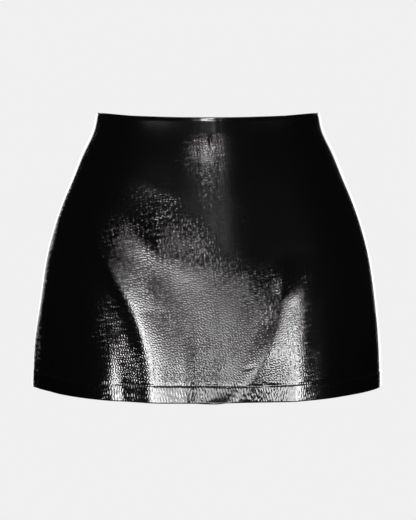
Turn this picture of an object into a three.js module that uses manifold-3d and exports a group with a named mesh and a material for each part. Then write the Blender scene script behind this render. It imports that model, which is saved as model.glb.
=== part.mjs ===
// A leather mini skirt, low waisted and bell shaped, filled out as if worn, with nobody in it.
// Four panels meet at a centre front seam, two side seams and a centre back seam that holds a concealed zip.
// The leather is turned in at the waist, at the hem and along every seam, so the wall is two layers thick there.
// Millimetres, +Z up, the front faces -Y and the wearer's left is +X.
// The origin is the middle of the waist opening, halfway down the turned waist edge that grips the wearer.
import * as THREE from "three";
import { mergeVertices } from "three/addons/utils/BufferGeometryUtils.js";
import Module from "manifold-3d";

const wasm = await Module();
wasm.setup();

// The cut
const LENGTH = 341; // waist edge to hem, straight down at a side seam
const WAIST_TURN = 16; // leather folded in at the waist
const HEM_TURN = 21; // leather folded up at the hem
const SEAM_TURN = 11; // allowance folded back beside a seam
const GRIP_DROP = WAIST_TURN / 2; // the origin lies this far below the waist edge
const FRONT_DIP = 3.2; // the waist edge is lower at the centre front
const BACK_DIP = 9.5; // and lower still at the centre back
const LEATHER = 1.3; // one layer
const TWO_LAYERS = 2 * LEATHER;
const SEAM_GAP = 0.3; // between panels that are sewn together
const CLEAR = 0.3; // between pieces that lie on each other

// The filled shape. drop is the distance below the waist edge, and the other columns are half sizes there.
const BODY = [
  { drop: 0, halfWidth: 138.5, front: 92, back: 103 },
  { drop: 20, halfWidth: 142.4, front: 95, back: 107 },
  { drop: 45, halfWidth: 154.0, front: 100.5, back: 113.5 },
  { drop: 75, halfWidth: 166.4, front: 107, back: 121.5 },
  { drop: 105, halfWidth: 178.9, front: 112.6, back: 128.5 },
  { drop: 140, halfWidth: 191.1, front: 119.5, back: 134.5 },
  { drop: 180, halfWidth: 201.4, front: 127.4, back: 139.5 },
  { drop: 230, halfWidth: 208.8, front: 134.7, back: 143.5 },
  { drop: 280, halfWidth: 213.4, front: 140.6, back: 147 },
  { drop: LENGTH, halfWidth: 216, front: 147.2, back: 150.5 },
];
// How far the front flattens from an ellipse by the hem: shares of the third and fifth cosine.
const FRONT_FLATTENING = { third: 0.035, fifth: -0.037 };

// The side seams lie a little in front of the widest line. Angles are degrees from the centre front.
const SIDE_SEAM = { atWaist: 71, atHip: 78.5, hipDrop: 170 };

// Soft folds. at is the angle at the hem and lean is added to it where the fold begins, in degrees.
// A bend over 1 makes the fold leave its start fast and reach the hem straight, and one under 1 the other way.
// width is half the fold's width in degrees, times skew on the side towards the wearer's left. rise is how far
// it stands out (or in, if negative) in mm, and stays is the share of it left at the hem. begins is the drop
// where it starts to show, and grows is the drop over which it reaches its full rise.
const FOLDS = [
  { at: -16.5, lean: -55, width: 5.2, rise: 5.8, begins: 75, grows: 205, bend: 2.2, skew: 2.4 },
  { at: -28, lean: -3, width: 3.2, rise: -1.6, begins: 262, grows: 60 },
  { at: -6.6, lean: 0, width: 2.6, rise: 1.1, begins: 245, grows: 60, skew: 0.6 },
  { at: 4.5, lean: 26, width: 5.2, rise: 6.4, begins: 160, grows: 60, bend: 0.5, skew: 2.0, stays: 0.35 },
  { at: 28, lean: 5, width: 5.0, rise: 2.2, begins: 220, grows: 90 },
  { at: 52, lean: 0, width: 8.0, rise: -1.4, begins: 190, grows: 110 },
  { at: -66, lean: 3, width: 6.0, rise: -1.6, begins: 190, grows: 110 },
  { at: -88, lean: 0, width: 7.0, rise: 3.2, begins: 215, grows: 90 },
  { at: 96, lean: 0, width: 9.0, rise: 1.8, begins: 190, grows: 120 },
  { at: -112, lean: 6, width: 8.0, rise: -2.4, begins: 180, grows: 110 },
  { at: -131, lean: 8, width: 8.5, rise: 2.8, begins: 150, grows: 120 },
  { at: -158, lean: -7, width: 8.0, rise: -2.6, begins: 190, grows: 100 },
  { at: 118, lean: -5, width: 9.0, rise: -2.2, begins: 185, grows: 110 },
  { at: 137, lean: -9, width: 8.0, rise: 2.6, begins: 150, grows: 130 },
  { at: 161, lean: 6, width: 7.0, rise: -2.3, begins: 200, grows: 90 },
];
const FOLD_FADES = 70; // mm above the hem over which a fold falls to what stays

// A narrow band along the waist edge is pressed in.
const WAIST_BAND = { recess: 0.44, drop: 1.2, ledge: 4.2 };
const EDGE_ROUNDING = LEATHER; // radius of a folded edge
const SEAM_ROUNDING = { reach: 1.3, depth: 0.55 }; // how a panel rolls in at its seam

// The concealed zip
const ZIP_TOP = 4.8;
const ZIP_FOOT = 178;
const TAPE = { width: 12, thickness: 0.6, fromSeam: 1.3 };
const COIL = { halfWidth: 2.2, thickness: 1.8, top: 17.5, foot: 178 };
const SLIDER = { drop: 12, length: 10, halfWidth: 3.3, thickness: 3.4, clear: 0.8 };
const NECK = { halfWidth: 0.7, length: 7 };
const CROWN = { halfWidth: 2.1, length: 9, thickness: 0.9 };
const BAIL = { halfWidth: 0.8, halfLength: 3, height: 4.2, eyeHalfLength: 1.7, eyeFoot: 0.25, eyeTop: 3 };
const SLIDER_SPREAD = { opening: 1.4, reach: 10 }; // how far the seam parts round the slider's neck
const PIVOT_RISE = 1.6; // the pull's bar above the crown
const PULL = {
  thickness: 1,
  barTop: 0.8,
  barFoot: -0.7,
  slotFoot: -4.5,
  slotHalfWidth: 1.35,
  shoulderHalfWidth: 2.6,
  waistHalfWidth: 1.7,
  waistAt: -8.5,
  bulbRadius: 3.4,
  bulbAt: -18.5,
  restTilt: 3.5, // degrees that its foot leans in towards the leather
};

// Mesh density
const FRONT_COLUMNS = 20;
const BACK_COLUMNS = 17;
const ROWS = [
  0, 0.8, 2.4, ZIP_TOP, 7.2, 10.5, WAIST_TURN, COIL.top, 30, 46, 64, 84, 106, 130, 154, ZIP_FOOT, 202, 226, 248,
  270, 292, LENGTH - HEM_TURN - 1.5, LENGTH - HEM_TURN, LENGTH - 10, LENGTH - 2.4, LENGTH - 0.8, LENGTH,
];

const BLACK_LEATHER = new THREE.MeshStandardMaterial({ color: 0x0b0b0c, roughness: 0.18, metalness: 0 });
const BLACK_TAPE = new THREE.MeshStandardMaterial({ color: 0x111112, roughness: 0.9, metalness: 0 });
const BLACK_COIL = new THREE.MeshStandardMaterial({ color: 0x0e0e0f, roughness: 0.5, metalness: 0 });
const BLACK_METAL = new THREE.MeshStandardMaterial({ color: 0x161617, roughness: 0.3, metalness: 0.6 });

const radians = (degrees) => (degrees * Math.PI) / 180;
const clamp01 = (value) => Math.min(1, Math.max(0, value));
const smooth = (value) => clamp01(value) ** 2 * (3 - 2 * clamp01(value));
const bell = (distance, reach) => Math.exp(-((distance / reach) ** 2));

// A natural cubic spline through one column of a table, so that the shape bends without kinks.
function splineOf(rows, column) {
  const count = rows.length;
  const x = rows.map((row) => row.drop);
  const y = rows.map((row) => row[column]);
  const bend = new Array(count).fill(0);
  const carry = new Array(count).fill(0);
  for (let i = 1; i < count - 1; i++) {
    const share = (x[i] - x[i - 1]) / (x[i + 1] - x[i - 1]);
    const pivot = share * bend[i - 1] + 2;
    const turn = (y[i + 1] - y[i]) / (x[i + 1] - x[i]) - (y[i] - y[i - 1]) / (x[i] - x[i - 1]);
    bend[i] = (share - 1) / pivot;
    carry[i] = ((6 * turn) / (x[i + 1] - x[i - 1]) - share * carry[i - 1]) / pivot;
  }
  for (let i = count - 2; i >= 0; i--) bend[i] = bend[i] * bend[i + 1] + carry[i];
  return (at) => {
    let i = 0;
    while (i < count - 2 && at > x[i + 1]) i++;
    const step = x[i + 1] - x[i];
    const a = (x[i + 1] - at) / step;
    const b = (at - x[i]) / step;
    return a * y[i] + b * y[i + 1] + (((a ** 3 - a) * bend[i] + (b ** 3 - b) * bend[i + 1]) * step ** 2) / 6;
  };
}

const halfWidthAt = splineOf(BODY, "halfWidth");
const frontAt = splineOf(BODY, "front");
const backAt = splineOf(BODY, "back");

// The angle of a side seam at a drop.
function sideSeamAt(drop) {
  return SIDE_SEAM.atWaist + (SIDE_SEAM.atHip - SIDE_SEAM.atWaist) * smooth(drop / SIDE_SEAM.hipDrop);
}

// How far the waist edge lies below its highest points, which are beside the side seams.
function waistDip(angle) {
  const ahead = Math.cos(radians(angle));
  return ahead > 0 ? FRONT_DIP * ahead ** 2 : BACK_DIP * ahead ** 2;
}

// The plan of the filled shape at a drop: a half ellipse behind and a flattened one in front.
function planPoint(angle, drop) {
  const turn = radians(angle);
  const flat = drop / LENGTH;
  const third = FRONT_FLATTENING.third * flat;
  const fifth = FRONT_FLATTENING.fifth * flat;
  const ahead = Math.cos(turn);
  const depth =
    ahead > 0
      ? (-frontAt(drop) * (ahead + third * Math.cos(3 * turn) + fifth * Math.cos(5 * turn))) / (1 + third + fifth)
      : -backAt(drop) * ahead;
  return { x: halfWidthAt(drop) * Math.sin(turn), y: depth };
}

// How far all the folds together push the leather out.
function foldRise(angle, drop) {
  let rise = 0;
  for (const { at, lean, width, begins, grows, bend = 1, skew = 1, stays = 1, rise: full } of FOLDS) {
    const faded = 1 - (1 - stays) * smooth((drop - LENGTH + FOLD_FADES) / FOLD_FADES);
    const down = clamp01((drop - begins) / (LENGTH - begins));
    let away = angle - at - lean * (1 - down) ** bend;
    away -= 360 * Math.round(away / 360);
    rise += full * smooth((drop - begins) / grows) * faded * bell(away, away > 0 ? width * skew : width);
  }
  return rise;
}

// How far the band along the waist edge lies in.
function waistRise(drop) {
  return -WAIST_BAND.recess * (1 - smooth((drop - WAIST_BAND.drop) / WAIST_BAND.ledge));
}

// A point of the outer face of the leather.
function outerPoint(angle, drop) {
  const step = 0.2;
  const here = planPoint(angle, drop);
  const before = planPoint(angle - step, drop);
  const after = planPoint(angle + step, drop);
  const along = Math.hypot(after.x - before.x, after.y - before.y);
  const out = { x: (after.y - before.y) / along, y: -(after.x - before.x) / along };
  const rise = foldRise(angle, drop) + waistRise(drop);
  const fall = waistDip(angle) * (1 - drop / LENGTH) + drop;
  return new THREE.Vector3(here.x + out.x * rise, here.y + out.y * rise, GRIP_DROP - fall);
}

// A point at a depth inside the outer face, measured square to it.
function pointInside(angle, drop, depth) {
  const turn = 0.4;
  const fall = 2;
  const across = outerPoint(angle + turn, drop).sub(outerPoint(angle - turn, drop));
  const top = Math.max(0, drop - fall);
  const foot = Math.min(LENGTH, drop + fall);
  const down = outerPoint(angle, foot).sub(outerPoint(angle, top));
  const out = down.cross(across).normalize();
  return outerPoint(angle, drop).addScaledVector(out, -depth);
}

// Millimetres of leather for each degree of turn.
function spanPerDegree(angle, drop) {
  return outerPoint(angle + 0.5, drop).distanceTo(outerPoint(angle - 0.5, drop));
}

// A closed body from a grid of outer points and the matching inner points.
// The rows run down and the columns run anticlockwise seen from above.
function closedWall(outer, inner) {
  const rows = outer.length;
  const columns = outer[0].length;
  const positions = [...outer, ...inner].flat().flatMap((point) => point.toArray());
  const at = (layer, row, column) => (layer * rows + row) * columns + column;
  const index = [];
  const quad = (a, b, c, d) => index.push(a, b, c, a, c, d);
  for (let i = 0; i < rows - 1; i++) {
    for (let j = 0; j < columns - 1; j++) {
      quad(at(0, i, j), at(0, i + 1, j), at(0, i + 1, j + 1), at(0, i, j + 1));
      quad(at(1, i, j), at(1, i, j + 1), at(1, i + 1, j + 1), at(1, i + 1, j));
    }
    quad(at(0, i, 0), at(1, i, 0), at(1, i + 1, 0), at(0, i + 1, 0));
    const last = columns - 1;
    quad(at(0, i, last), at(0, i + 1, last), at(1, i + 1, last), at(1, i, last));
  }
  for (let j = 0; j < columns - 1; j++) {
    quad(at(0, 0, j), at(0, 0, j + 1), at(1, 0, j + 1), at(1, 0, j));
    const last = rows - 1;
    quad(at(0, last, j), at(1, last, j), at(1, last, j + 1), at(0, last, j + 1));
  }
  const geometry = new THREE.BufferGeometry();
  geometry.setAttribute("position", new THREE.Float32BufferAttribute(positions, 3));
  geometry.setIndex(index);
  geometry.computeVertexNormals();
  return geometry;
}

// How deep the outer face lies below the smooth shape: folded edges and seams roll in.
function edgeRolling(drop, fromSeam) {
  const fromEdge = Math.min(drop, LENGTH - drop, EDGE_ROUNDING);
  const lift = 1 - fromEdge / EDGE_ROUNDING;
  const fold = 0.8 * EDGE_ROUNDING * (1 - Math.sqrt(1 - lift ** 2));
  const seam = SEAM_ROUNDING.depth * (1 - Math.min(1, fromSeam / SEAM_ROUNDING.reach)) ** 2;
  return Math.max(fold, seam);
}

// The depth of the inner face, which is one layer down or two where leather is turned in.
function innerDepth(drop, fromSeam) {
  const turned = drop <= WAIST_TURN || drop >= LENGTH - HEM_TURN || fromSeam <= SEAM_TURN;
  return turned ? TWO_LAYERS - edgeRolling(drop, Infinity) : LEATHER;
}

// How far a panel's edge stays from the middle of its seam. The back seam parts round the slider's neck.
function halfGap(isZipSeam, drop) {
  const near = 1 - ((drop - SLIDER.drop) / SLIDER_SPREAD.reach) ** 2;
  const spread = isZipSeam && near > 0 ? SLIDER_SPREAD.opening * near ** 2 : 0;
  return SEAM_GAP / 2 + spread;
}

// One panel between two seams. Each seam is { angle: drop => degrees, zip: boolean }.
function panel(start, end, columns) {
  const besideSeam = [0, 1.3, SEAM_TURN, SEAM_TURN + 1.5];
  const outer = [];
  const inner = [];
  for (const drop of ROWS) {
    const from = start.angle(drop);
    const to = end.angle(drop);
    const places = [];
    for (const away of besideSeam) {
      places.push({ angle: from + (halfGap(start.zip, drop) + away) / spanPerDegree(from, drop), away });
    }
    const first = places.at(-1).angle;
    const last = to - (halfGap(end.zip, drop) + besideSeam.at(-1)) / spanPerDegree(to, drop);
    for (let j = 1; j < columns; j++) {
      places.push({ angle: first + ((last - first) * j) / columns, away: Infinity });
    }
    for (const away of [...besideSeam].reverse()) {
      places.push({ angle: to - (halfGap(end.zip, drop) + away) / spanPerDegree(to, drop), away });
    }
    outer.push(places.map((p) => pointInside(p.angle, drop, edgeRolling(drop, p.away))));
    inner.push(places.map((p) => pointInside(p.angle, drop, innerDepth(drop, p.away))));
  }
  return closedWall(outer, inner);
}

// A strip that follows the inside of the centre back seam. left and right are mm from the seam towards +X.
// Its rows are those of the panels, so that it lies parallel to them.
function backStrip(left, right, depth, thickness, top, foot) {
  const outer = [];
  const inner = [];
  for (const drop of ROWS.filter((row) => row >= top && row <= foot)) {
    const span = spanPerDegree(180, drop);
    const angles = [right, left].map((x) => 180 - x / span);
    outer.push(angles.map((angle) => pointInside(angle, drop, depth)));
    inner.push(angles.map((angle) => pointInside(angle, drop, depth + thickness)));
  }
  return closedWall(outer, inner);
}

// A three.js geometry as a solid that can be joined to others.
function solidOf(geometry) {
  const bare = geometry.clone();
  bare.deleteAttribute("normal");
  bare.deleteAttribute("uv");
  const merged = mergeVertices(bare, 1e-4);
  const mesh = new wasm.Mesh({
    numProp: 3,
    vertProperties: new Float32Array(merged.attributes.position.array),
    triVerts: new Uint32Array(merged.index.array),
  });
  return new wasm.Manifold(mesh);
}

// A joined solid as a three.js geometry again.
function geometryOf(solid) {
  const mesh = solid.getMesh();
  const geometry = new THREE.BufferGeometry();
  geometry.setAttribute("position", new THREE.BufferAttribute(new Float32Array(mesh.vertProperties), 3));
  geometry.setIndex(new THREE.BufferAttribute(new Uint32Array(mesh.triVerts), 1));
  geometry.computeVertexNormals();
  return geometry;
}

// A shape drawn in the zip's own frame, where y is out of the leather and z is up along it, made wide in x.
function acrossSeam(points, halfWidth) {
  const shape = new THREE.Shape(points.map(([out, up]) => new THREE.Vector2(out, up)));
  const geometry = new THREE.ExtrudeGeometry(shape, { depth: 2 * halfWidth, bevelEnabled: false });
  geometry.applyMatrix4(new THREE.Matrix4().set(0, 0, 1, -halfWidth, 1, 0, 0, 0, 0, 1, 0, 0, 0, 0, 0, 1));
  return geometry;
}

// A rectangle with cut corners, between two depths and two heights.
function cutCornered(low, high, foot, top, cut) {
  return [
    [low + cut, foot],
    [high - cut, foot],
    [high, foot + cut],
    [high, top - cut],
    [high - cut, top],
    [low + cut, top],
    [low, top - cut],
    [low, foot + cut],
  ];
}

// The slider: a body inside the skirt, a neck through the seam, and a crown outside with the bail for the pull.
function slider() {
  const half = SLIDER.length / 2;
  const bodyTop = -(TWO_LAYERS + CLEAR + TAPE.thickness + SLIDER.clear);
  const crownFoot = CLEAR;
  const crownTop = crownFoot + CROWN.thickness;
  const body = acrossSeam(cutCornered(bodyTop - SLIDER.thickness, bodyTop, -half, half, 0.8), SLIDER.halfWidth);
  const neck = acrossSeam(
    cutCornered(bodyTop - 1, crownFoot + 0.4, -NECK.length / 2, NECK.length / 2, 0.3),
    NECK.halfWidth,
  );
  const crown = acrossSeam(
    cutCornered(crownFoot, crownTop, -CROWN.length / 2, CROWN.length / 2, 0.3),
    CROWN.halfWidth,
  );
  const bail = acrossSeam(
    cutCornered(crownTop - 0.4, crownTop + BAIL.height, -BAIL.halfLength, BAIL.halfLength, 1),
    BAIL.halfWidth,
  );
  const eye = acrossSeam(
    cutCornered(crownTop + BAIL.eyeFoot, crownTop + BAIL.eyeTop, -BAIL.eyeHalfLength, BAIL.eyeHalfLength, 0.4),
    BAIL.halfWidth + 1,
  );
  const joined = solidOf(body).add(solidOf(neck)).add(solidOf(crown)).add(solidOf(bail)).subtract(solidOf(eye));
  return geometryOf(joined);
}

// The pull: a drop-shaped tab whose bar goes through the bail. Its own origin is the middle of the bar.
function pull() {
  const shoulder = PULL.shoulderHalfWidth;
  const half = [
    [shoulder - 0.8, PULL.barTop],
    [shoulder, PULL.barTop - 0.8],
    [shoulder, PULL.slotFoot - 0.4],
    [PULL.waistHalfWidth + 0.25, PULL.slotFoot - 1.6],
    [PULL.waistHalfWidth, PULL.waistAt],
    [PULL.waistHalfWidth + 0.2, PULL.bulbAt + 6.5],
    [PULL.bulbRadius - 0.6, PULL.bulbAt + 3],
  ];
  for (let degrees = 0; degrees < 90; degrees += 18) {
    const turn = radians(degrees);
    half.push([PULL.bulbRadius * Math.cos(turn), PULL.bulbAt - PULL.bulbRadius * Math.sin(turn)]);
  }
  const mirrored = half.map(([x, y]) => [-x, y]).reverse();
  const foot = [0, PULL.bulbAt - PULL.bulbRadius];
  const outline = new THREE.Shape([...half, foot, ...mirrored].map(([x, y]) => new THREE.Vector2(x, y)));
  const slot = [
    [-PULL.slotHalfWidth, PULL.barFoot],
    [-PULL.slotHalfWidth, PULL.slotFoot],
    [PULL.slotHalfWidth, PULL.slotFoot],
    [PULL.slotHalfWidth, PULL.barFoot],
  ];
  outline.holes.push(new THREE.Path(slot.map(([x, y]) => new THREE.Vector2(x, y))));
  const geometry = new THREE.ExtrudeGeometry(outline, { depth: PULL.thickness, bevelEnabled: false });
  geometry.translate(0, 0, -PULL.thickness / 2);
  geometry.rotateX(Math.PI / 2);
  return geometry;
}

function piece(name, geometry, material) {
  const mesh = new THREE.Mesh(geometry, material);
  mesh.name = name;
  return mesh;
}

const skirt = new THREE.Group();

const centreFront = { angle: () => 0, zip: false };
const sideLeft = { angle: (drop) => sideSeamAt(drop), zip: false };
const sideRight = { angle: (drop) => -sideSeamAt(drop), zip: false };
const centreBack = { angle: () => 180, zip: true };
const centreBackAgain = { angle: () => -180, zip: true };
skirt.add(piece("front_left", panel(centreFront, sideLeft, FRONT_COLUMNS), BLACK_LEATHER));
skirt.add(piece("front_right", panel(sideRight, centreFront, FRONT_COLUMNS), BLACK_LEATHER));
skirt.add(piece("back_left", panel(sideLeft, centreBack, BACK_COLUMNS), BLACK_LEATHER));
skirt.add(piece("back_right", panel(centreBackAgain, sideRight, BACK_COLUMNS), BLACK_LEATHER));

const tapeDepth = TWO_LAYERS + CLEAR;
const coilDepth = tapeDepth + TAPE.thickness + CLEAR;
const tapeEdge = TAPE.fromSeam + TAPE.width;
skirt.add(
  piece(
    "zip_tape_left",
    backStrip(TAPE.fromSeam, tapeEdge, tapeDepth, TAPE.thickness, ZIP_TOP, ZIP_FOOT),
    BLACK_TAPE,
  ),
);
skirt.add(
  piece(
    "zip_tape_right",
    backStrip(-tapeEdge, -TAPE.fromSeam, tapeDepth, TAPE.thickness, ZIP_TOP, ZIP_FOOT),
    BLACK_TAPE,
  ),
);
skirt.add(
  piece(
    "zip_coil",
    backStrip(-COIL.halfWidth, COIL.halfWidth, coilDepth, COIL.thickness, COIL.top, COIL.foot),
    BLACK_COIL,
  ),
);

// The slider and its pull stand square to the leather at the slider's drop.
const zipPlace = outerPoint(180, SLIDER.drop);
const above = outerPoint(180, SLIDER.drop - SLIDER.length / 2);
const below = outerPoint(180, SLIDER.drop + SLIDER.length / 2 + 10);
const zipLean = Math.atan2(below.y - above.y, above.z - below.z);
const zipHead = new THREE.Group();
zipHead.position.copy(zipPlace);
zipHead.rotation.x = zipLean;
zipHead.add(piece("zip_slider", slider(), BLACK_METAL));
const zipPull = piece("zip_pull", pull(), BLACK_METAL);
zipPull.position.y = CLEAR + CROWN.thickness + PIVOT_RISE;
zipPull.rotation.x = -radians(PULL.restTilt);
zipHead.add(zipPull);
skirt.add(zipHead);

export default skirt;
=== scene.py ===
"""A black patent leather mini skirt, filled out as if worn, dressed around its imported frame.

Lengths are millimetres until a mesh is made, and metres in the mesh. +Z is up, the front faces -Y, and the
wearer's left is +X. A place on the leather is given as a maker would mark it on the cut: the angle round the
body from the centre front in degrees, or the run along the leather from the centre front in millimetres
(positive to the wearer's left), and the drop below the waist edge in millimetres.
"""
import logging
import math
from dataclasses import dataclass, field
from enum import Enum
from typing import NamedTuple

import bmesh
import bpy
import numpy as np
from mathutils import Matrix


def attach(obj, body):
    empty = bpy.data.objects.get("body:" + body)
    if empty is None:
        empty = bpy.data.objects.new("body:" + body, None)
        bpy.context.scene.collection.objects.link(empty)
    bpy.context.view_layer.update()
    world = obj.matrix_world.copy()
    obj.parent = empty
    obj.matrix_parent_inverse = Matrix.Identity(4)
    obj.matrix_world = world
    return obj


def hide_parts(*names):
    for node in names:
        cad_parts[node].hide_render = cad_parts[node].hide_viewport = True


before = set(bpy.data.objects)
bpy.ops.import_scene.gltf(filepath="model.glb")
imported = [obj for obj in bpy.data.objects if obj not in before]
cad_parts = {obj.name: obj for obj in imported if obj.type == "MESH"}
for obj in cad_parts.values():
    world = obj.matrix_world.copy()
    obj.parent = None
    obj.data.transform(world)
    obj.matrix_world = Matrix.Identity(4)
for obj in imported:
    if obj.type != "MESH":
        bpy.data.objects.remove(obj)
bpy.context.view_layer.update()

LOG = logging.getLogger("skirt")
MM = 0.001
SKIRT_BODY = "skirt"
PULL_BODY = "pull"


class LeatherFace(Enum):
    """Which face of the leather shows, as the slot of its material on a panel."""

    GRAIN = 0
    FLESH = 1


class Slot(Enum):
    """The record's material slots."""

    LEATHER = "patent_leather"
    TAPE = "zip_tape"
    COIL = "zip_coil"
    METAL = "zip_metal"


class BodyRow(NamedTuple):
    """Half sizes of the filled shape at one drop below the waist edge."""

    drop: float
    half_width: float
    front: float
    back: float


class Fold(NamedTuple):
    """A soft fold that the solids have too. Angles are degrees, and the rest is millimetres.

    at is its place at the hem, and lean how far from there it starts. A bend over 1 makes it leave its start
    fast and reach the hem straight, and one under 1 the other way round. skew is how many times as wide it is
    on the side towards the wearer's left, and stays the share of its rise that is left at the hem.
    """

    at: float
    lean: float
    width: float
    rise: float
    begins: float
    grows: float
    bend: float = 1.0
    skew: float = 1.0
    stays: float = 1.0


class Crease(NamedTuple):
    """A finer crease from one place on the leather to another.

    width is half its width, sharp shrinks the width on the side towards the wearer's left of a crease that
    runs down, bow bends its middle to that side, and rise is how far it stands out, or in if negative.
    """

    run_from: float
    drop_from: float
    run_to: float
    drop_to: float
    width: float
    rise: float
    sharp: float = 1.0
    bow: float = 0.0


BODY = (
    BodyRow(0, 138.5, 92, 103),
    BodyRow(20, 142.4, 95, 107),
    BodyRow(45, 154.0, 100.5, 113.5),
    BodyRow(75, 166.4, 107, 121.5),
    BodyRow(105, 178.9, 112.6, 128.5),
    BodyRow(140, 191.1, 119.5, 134.5),
    BodyRow(180, 201.4, 127.4, 139.5),
    BodyRow(230, 208.8, 134.7, 143.5),
    BodyRow(280, 213.4, 140.6, 147),
    BodyRow(341, 216, 147.2, 150.5),
)

FOLDS = (
    Fold(at=-16.5, lean=-55, width=5.2, rise=5.8, begins=75, grows=205, bend=2.2, skew=2.4),
    Fold(at=-28, lean=-3, width=3.2, rise=-1.6, begins=262, grows=60),
    Fold(at=-6.6, lean=0, width=2.6, rise=1.1, begins=245, grows=60, skew=0.6),
    Fold(at=4.5, lean=26, width=5.2, rise=6.4, begins=160, grows=60, bend=0.5, skew=2.0, stays=0.35),
    Fold(at=28, lean=5, width=5.0, rise=2.2, begins=220, grows=90),
    Fold(at=52, lean=0, width=8.0, rise=-1.4, begins=190, grows=110),
    Fold(at=-66, lean=3, width=6.0, rise=-1.6, begins=190, grows=110),
    Fold(at=-88, lean=0, width=7.0, rise=3.2, begins=215, grows=90),
    Fold(at=96, lean=0, width=9.0, rise=1.8, begins=190, grows=120),
    Fold(at=-112, lean=6, width=8.0, rise=-2.4, begins=180, grows=110),
    Fold(at=-131, lean=8, width=8.5, rise=2.8, begins=150, grows=120),
    Fold(at=-158, lean=-7, width=8.0, rise=-2.6, begins=190, grows=100),
    Fold(at=118, lean=-5, width=9.0, rise=-2.2, begins=185, grows=110),
    Fold(at=137, lean=-9, width=8.0, rise=2.6, begins=150, grows=130),
    Fold(at=161, lean=6, width=7.0, rise=-2.3, begins=200, grows=90),
)

CREASES = (
    Crease(97, 14, 136, 6, width=2.2, rise=-0.5, sharp=0.6),
    Crease(1.5, 18, 4.5, 40, width=2.4, rise=-0.5),
    Crease(-165, 92, 0, 192, width=24.0, rise=2.2),
    Crease(-135, 58, 8, 112, width=8.0, rise=0.2),
    Crease(-66, 142, -66, 232, width=20.0, rise=1.3),
    Crease(3.5, 28, 2.5, 150, width=1.6, rise=0.14, sharp=2.2),
    Crease(-128, 4, -136, 20, width=2.4, rise=0.6, sharp=0.5),
    Crease(-120, 6, -126, 15, width=1.8, rise=-0.4),
    Crease(126, 5, 138, 18, width=2.2, rise=0.6, sharp=0.6),
    Crease(40, 302, 58, 296, width=1.8, rise=-0.35),
)


def smooth(value: np.ndarray) -> np.ndarray:
    """Rises from 0 to 1 without a kink: 3 v squared less 2 v cubed, clipped."""
    v = np.clip(value, 0.0, 1.0)
    return v * v * (3.0 - 2.0 * v)


def bell(distance: np.ndarray, reach: float | np.ndarray) -> np.ndarray:
    """A bell curve of height 1 that falls to 1/e at the reach."""
    return np.exp(-((distance / reach) ** 2))


class NaturalSpline:
    """A natural cubic spline through the knots of a table, so that the shape bends without kinks."""

    def __init__(self, at: np.ndarray, value: np.ndarray) -> None:
        """Solves for the bend at each knot.

        Args:
            at: where the knots are, rising.
            value: the value at each knot.
        """
        count = len(at)
        step = np.diff(at)
        system = np.eye(count)
        wanted = np.zeros(count)
        for i in range(1, count - 1):
            system[i, i - 1 : i + 2] = step[i - 1], 2 * (step[i - 1] + step[i]), step[i]
            wanted[i] = 6 * ((value[i + 1] - value[i]) / step[i] - (value[i] - value[i - 1]) / step[i - 1])
        self.at = np.asarray(at, float)
        self.value = np.asarray(value, float)
        self.bend = np.linalg.solve(system, wanted)

    def __call__(self, where: np.ndarray) -> np.ndarray:
        """Reads the spline: on each span a straight line plus two cubics that carry the bends.

        Args:
            where: the places to read.

        Returns:
            The value at each place.
        """
        i = np.clip(np.searchsorted(self.at, where, side="right") - 1, 0, len(self.at) - 2)
        step = self.at[i + 1] - self.at[i]
        a = (self.at[i + 1] - where) / step
        b = 1.0 - a
        curve = (a**3 - a) * self.bend[i] + (b**3 - b) * self.bend[i + 1]
        return a * self.value[i] + b * self.value[i + 1] + curve * step**2 / 6.0


@dataclass
class Dents:
    """Shallow uneven dents over the whole skirt, as many sine waves in random directions added up."""

    waves: int = 26
    shortest: float = 24.0
    longest: float = 75.0
    height: float = 0.012
    seed: int = 7

    def __post_init__(self) -> None:
        """Draws the waves once."""
        draw = np.random.default_rng(self.seed)
        length = draw.uniform(self.shortest, self.longest, self.waves)
        heading = draw.uniform(0, math.pi, self.waves)
        self.along = 2 * math.pi * np.cos(heading) / length
        self.down = 2 * math.pi * np.sin(heading) / length
        self.phase = draw.uniform(0, 2 * math.pi, self.waves)
        self.part = self.height * length / length.mean() / math.sqrt(self.waves / 2)

    def __call__(self, run: np.ndarray, drop: np.ndarray) -> np.ndarray:
        """The height of the dents at places on the leather.

        Args:
            run: mm along the leather from the centre front.
            drop: mm below the waist edge.

        Returns:
            The height, in mm.
        """
        total = np.zeros_like(run)
        for along, down, phase, part in zip(self.along, self.down, self.phase, self.part):
            total += part * np.sin(along * run + down * drop + phase)
        return total


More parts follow.
